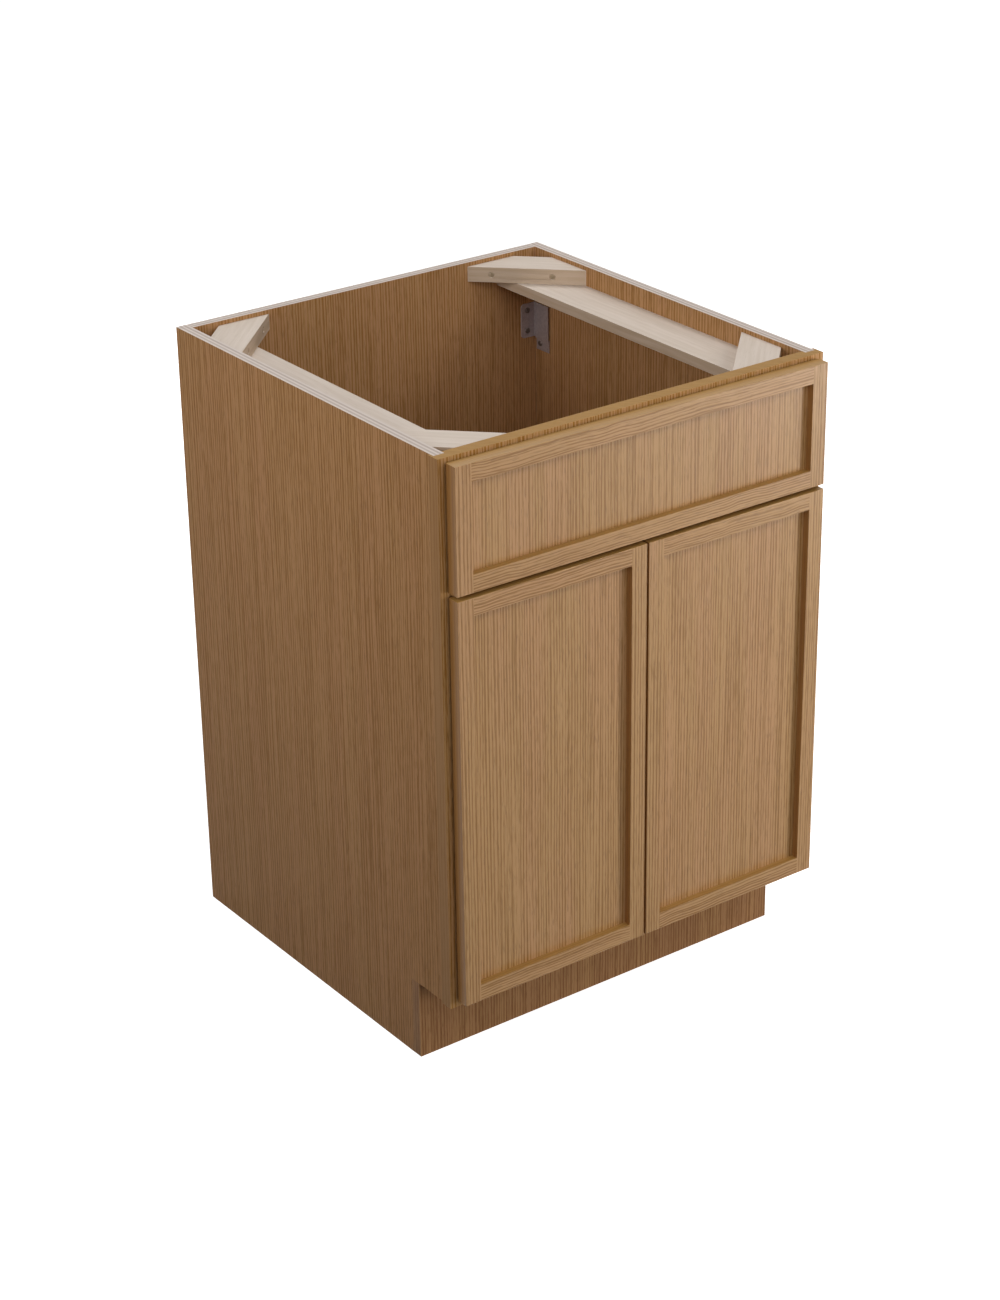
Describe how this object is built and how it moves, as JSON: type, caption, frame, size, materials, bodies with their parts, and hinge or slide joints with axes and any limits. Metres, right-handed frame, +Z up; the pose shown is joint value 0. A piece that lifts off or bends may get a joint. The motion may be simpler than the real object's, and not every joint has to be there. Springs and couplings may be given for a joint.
{
  "type": "sink base cabinet",
  "caption": "Framed kitchen sink base cabinet with hinged recessed-panel doors below a fixed false drawer front, open at the top, with corner blocks and a toe space",
  "frame": {"origin": "on the floor, in the middle of the width and of the depth over the doors", "axes": "X to the right seen from the front, Y from front to back, Z up"},
  "size_m": [0.6096, 0.6306, 0.8763],
  "materials": {
    "veneered_ply": "satin",
    "toe_oak": "satin",
    "frame_oak": "satin",
    "front_oak": "satin",
    "pale_ply": "unfinished",
    "bracket_steel": "satin",
    "hinge_steel": "satin",
    "screw_steel": "satin",
    "soft_pad": "matte"
  },
  "bodies": {
    "cabinet": {"back_panel": "veneered_ply", "bottom_panel": "veneered_ply", "side_panel_left": "veneered_ply", "side_panel_right": "veneered_ply", "toe_kick_board": "toe_oak", "frame_stile_left": "frame_oak", "frame_stile_right": "frame_oak", "frame_top_rail": "frame_oak", "frame_middle_rail": "frame_oak", "frame_bottom_rail": "frame_oak", "side_rail_left": "pale_ply", "side_rail_right": "pale_ply", "corner_block_back_left": "pale_ply", "corner_block_back_right": "pale_ply", "corner_block_front_left": "pale_ply", "corner_block_front_right": "pale_ply", "upper_bracket_left": "bracket_steel", "upper_bracket_right": "bracket_steel", "lower_bracket_left": "bracket_steel", "lower_bracket_right": "bracket_steel", "false_front_stile_left": "front_oak", "false_front_stile_right": "front_oak", "false_front_top_rail": "front_oak", "false_front_bottom_rail": "front_oak", "false_front_panel": "front_oak", "corner_block_screws": "screw_steel", "bracket_screws": "screw_steel", "false_front_screws": "screw_steel", "hinge_arm_screws_left": "screw_steel", "hinge_arm_screws_right": "screw_steel", "false_front_bumpers": "soft_pad", "hinge_arms_left": "hinge_steel", "hinge_arms_right": "hinge_steel"},
    "door_left": {"door_hinge_stile_left": "front_oak", "door_meeting_stile_left": "front_oak", "door_top_rail_left": "front_oak", "door_bottom_rail_left": "front_oak", "door_panel_left": "front_oak", "door_bumpers_left": "soft_pad", "hinge_cups_left": "hinge_steel", "hinge_cup_screws_left": "screw_steel", "hinge_pins_left": "hinge_steel"},
    "door_right": {"door_hinge_stile_right": "front_oak", "door_meeting_stile_right": "front_oak", "door_top_rail_right": "front_oak", "door_bottom_rail_right": "front_oak", "door_panel_right": "front_oak", "door_bumpers_right": "soft_pad", "hinge_cups_right": "hinge_steel", "hinge_cup_screws_right": "screw_steel", "hinge_pins_right": "hinge_steel"}
  },
  "joints": [
    {"name": "door_left_swing", "type": "hinge", "parent": "cabinet", "child": "door_left", "pos_m": [-0.289, -0.30207, 0.41005], "axis": [0, 0, -1], "range_deg": [0, 95]},
    {"name": "door_right_swing", "type": "hinge", "parent": "cabinet", "child": "door_right", "pos_m": [0.289, -0.30207, 0.41005], "axis": [0, 0, 1], "range_deg": [0, 95]}
  ]
}
